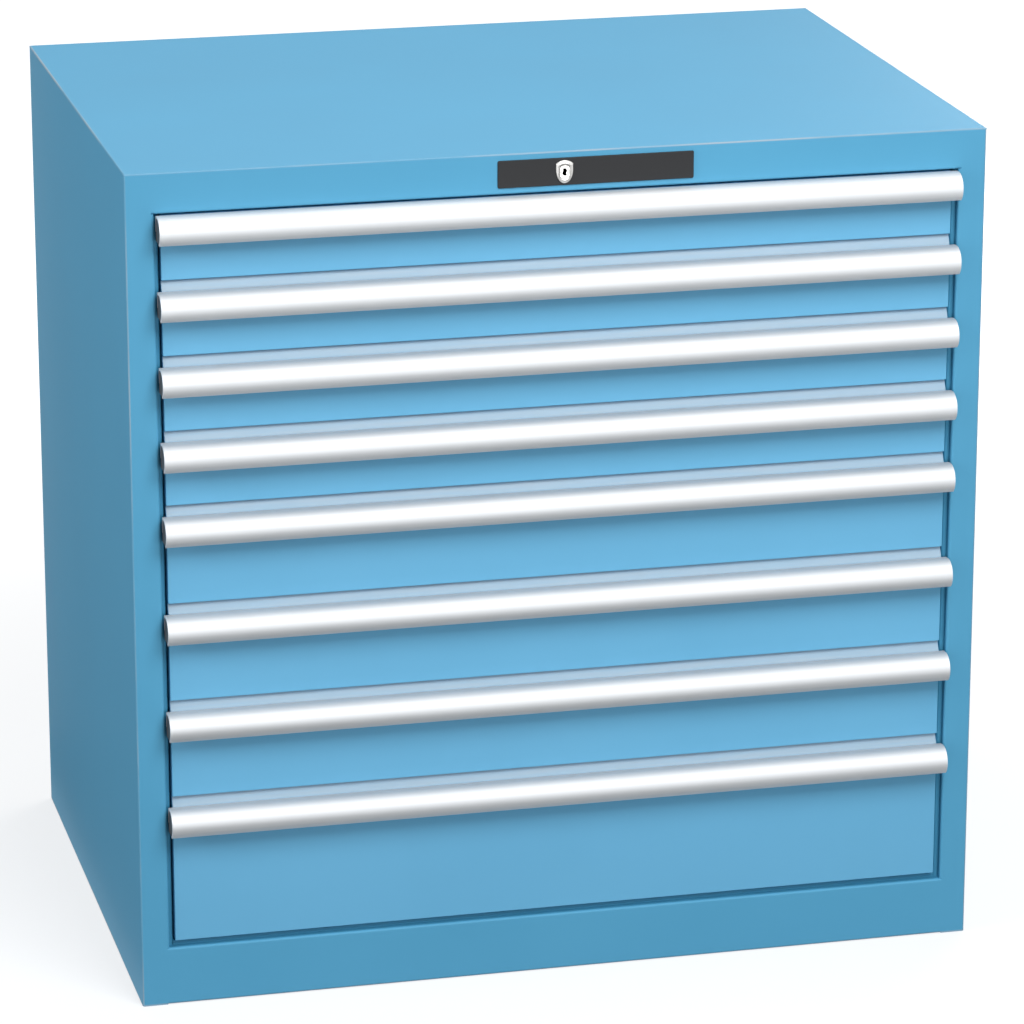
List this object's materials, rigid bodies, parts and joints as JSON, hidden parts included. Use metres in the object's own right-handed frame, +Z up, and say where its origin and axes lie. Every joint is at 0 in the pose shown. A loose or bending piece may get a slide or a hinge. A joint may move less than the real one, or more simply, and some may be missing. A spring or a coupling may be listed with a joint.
{
  "type": "workshop drawer cabinet",
  "caption": "Floor-standing blue steel workshop cabinet: full-width drawers on roller slides, bright grip handles, a keyed central lock in the top rail and floor anchor holes.",
  "frame": {"origin": "on the floor, under the middle of the whole outline with the handles", "axes": "+X to the right of someone facing the drawers, +Y from the drawer fronts to the back, +Z up"},
  "size_m": [0.86, 0.6365, 0.85],
  "materials": {
    "blue_powder_coat": "fine textured powder coat",
    "grey_powder_coat": "smooth light grey powder coat",
    "zinc_plated_steel": "zinc plated",
    "satin_aluminium": "satin anodised",
    "dark_grey_plastic": "matt moulded",
    "mid_grey_plastic": "matt moulded",
    "black_rubber": "matt",
    "nickel_plate": "satin nickel plate"
  },
  "bodies": {
    "housing": {"left_side_panel": "blue_powder_coat", "right_side_panel": "blue_powder_coat", "top_panel": "blue_powder_coat", "rear_panel": "blue_powder_coat", "floor_panel": "blue_powder_coat", "plinth": "blue_powder_coat", "runner_columns": "zinc_plated_steel", "left_rails": "zinc_plated_steel", "right_rails": "zinc_plated_steel", "rail_stops": "black_rubber", "lock_cover": "dark_grey_plastic", "lock_shield": "nickel_plate", "lock_barrel": "nickel_plate", "lock_guides": "zinc_plated_steel"},
    "drawer_1": {"drawer_1_tray": "grey_powder_coat", "drawer_1_front": "blue_powder_coat", "drawer_1_handle": "satin_aluminium", "drawer_1_caps": "mid_grey_plastic"},
    "slides_1": {"drawer_1_slides": "zinc_plated_steel"},
    "drawer_2": {"drawer_2_tray": "grey_powder_coat", "drawer_2_front": "blue_powder_coat", "drawer_2_handle": "satin_aluminium", "drawer_2_caps": "mid_grey_plastic"},
    "slides_2": {"drawer_2_slides": "zinc_plated_steel"},
    "drawer_3": {"drawer_3_tray": "grey_powder_coat", "drawer_3_front": "blue_powder_coat", "drawer_3_handle": "satin_aluminium", "drawer_3_caps": "mid_grey_plastic"},
    "slides_3": {"drawer_3_slides": "zinc_plated_steel"},
    "drawer_4": {"drawer_4_tray": "grey_powder_coat", "drawer_4_front": "blue_powder_coat", "drawer_4_handle": "satin_aluminium", "drawer_4_caps": "mid_grey_plastic"},
    "slides_4": {"drawer_4_slides": "zinc_plated_steel"},
    "drawer_5": {"drawer_5_tray": "grey_powder_coat", "drawer_5_front": "blue_powder_coat", "drawer_5_handle": "satin_aluminium", "drawer_5_caps": "mid_grey_plastic"},
    "slides_5": {"drawer_5_slides": "zinc_plated_steel"},
    "drawer_6": {"drawer_6_tray": "grey_powder_coat", "drawer_6_front": "blue_powder_coat", "drawer_6_handle": "satin_aluminium", "drawer_6_caps": "mid_grey_plastic"},
    "slides_6": {"drawer_6_slides": "zinc_plated_steel"},
    "drawer_7": {"drawer_7_tray": "grey_powder_coat", "drawer_7_front": "blue_powder_coat", "drawer_7_handle": "satin_aluminium", "drawer_7_caps": "mid_grey_plastic"},
    "slides_7": {"drawer_7_slides": "zinc_plated_steel"},
    "drawer_8": {"drawer_8_tray": "grey_powder_coat", "drawer_8_front": "blue_powder_coat", "drawer_8_handle": "satin_aluminium", "drawer_8_caps": "mid_grey_plastic"},
    "slides_8": {"drawer_8_slides": "zinc_plated_steel"},
    "lock_plug": {"lock_plug": "nickel_plate", "lock_crank": "zinc_plated_steel"},
    "lock_rod": {"lock_rod": "zinc_plated_steel"},
    "locking_bar": {"locking_bar": "zinc_plated_steel", "lock_catches": "zinc_plated_steel"}
  },
  "joints": [
    {"name": "drawer_1_travel", "type": "slide", "parent": "housing", "child": "drawer_1", "axis": [0, -1, 0], "range_m": [0, 0.5]},
    {"name": "slides_1_travel", "type": "slide", "parent": "housing", "child": "slides_1", "axis": [0, -1, 0], "range_m": [0, 0.25]},
    {"name": "drawer_2_travel", "type": "slide", "parent": "housing", "child": "drawer_2", "axis": [0, -1, 0], "range_m": [0, 0.5]},
    {"name": "slides_2_travel", "type": "slide", "parent": "housing", "child": "slides_2", "axis": [0, -1, 0], "range_m": [0, 0.25]},
    {"name": "drawer_3_travel", "type": "slide", "parent": "housing", "child": "drawer_3", "axis": [0, -1, 0], "range_m": [0, 0.5]},
    {"name": "slides_3_travel", "type": "slide", "parent": "housing", "child": "slides_3", "axis": [0, -1, 0], "range_m": [0, 0.25]},
    {"name": "drawer_4_travel", "type": "slide", "parent": "housing", "child": "drawer_4", "axis": [0, -1, 0], "range_m": [0, 0.5]},
    {"name": "slides_4_travel", "type": "slide", "parent": "housing", "child": "slides_4", "axis": [0, -1, 0], "range_m": [0, 0.25]},
    {"name": "drawer_5_travel", "type": "slide", "parent": "housing", "child": "drawer_5", "axis": [0, -1, 0], "range_m": [0, 0.5]},
    {"name": "slides_5_travel", "type": "slide", "parent": "housing", "child": "slides_5", "axis": [0, -1, 0], "range_m": [0, 0.25]},
    {"name": "drawer_6_travel", "type": "slide", "parent": "housing", "child": "drawer_6", "axis": [0, -1, 0], "range_m": [0, 0.5]},
    {"name": "slides_6_travel", "type": "slide", "parent": "housing", "child": "slides_6", "axis": [0, -1, 0], "range_m": [0, 0.25]},
    {"name": "drawer_7_travel", "type": "slide", "parent": "housing", "child": "drawer_7", "axis": [0, -1, 0], "range_m": [0, 0.5]},
    {"name": "slides_7_travel", "type": "slide", "parent": "housing", "child": "slides_7", "axis": [0, -1, 0], "range_m": [0, 0.25]},
    {"name": "drawer_8_travel", "type": "slide", "parent": "housing", "child": "drawer_8", "axis": [0, -1, 0], "range_m": [0, 0.5]},
    {"name": "slides_8_travel", "type": "slide", "parent": "housing", "child": "slides_8", "axis": [0, -1, 0], "range_m": [0, 0.25]},
    {"name": "lock_turn", "type": "hinge", "parent": "housing", "child": "lock_plug", "pos_m": [0, -0.29875, 0.83], "axis": [0, 1, 0], "range_deg": [0, 90]},
    {"name": "lock_rod_travel", "type": "slide", "parent": "housing", "child": "lock_rod", "axis": [-1, 0, 0], "range_m": [0, 0.0121]},
    {"name": "locking_bar_travel", "type": "slide", "parent": "housing", "child": "locking_bar", "axis": [0, 0, 1], "range_m": [0, 0.012]}
  ],
  "couplings": [
    {"joint": "slides_1_travel", "follows": "drawer_1_travel", "ratio": 0.5},
    {"joint": "slides_2_travel", "follows": "drawer_2_travel", "ratio": 0.5},
    {"joint": "slides_3_travel", "follows": "drawer_3_travel", "ratio": 0.5},
    {"joint": "slides_4_travel", "follows": "drawer_4_travel", "ratio": 0.5},
    {"joint": "slides_5_travel", "follows": "drawer_5_travel", "ratio": 0.5},
    {"joint": "slides_6_travel", "follows": "drawer_6_travel", "ratio": 0.5},
    {"joint": "slides_7_travel", "follows": "drawer_7_travel", "ratio": 0.5},
    {"joint": "slides_8_travel", "follows": "drawer_8_travel", "ratio": 0.5},
    {"joint": "lock_rod_travel", "follows": "locking_bar_travel", "ratio": 1},
    {"joint": "lock_turn", "follows": "locking_bar_travel", "rad_per_m": 130.9}
  ]
}
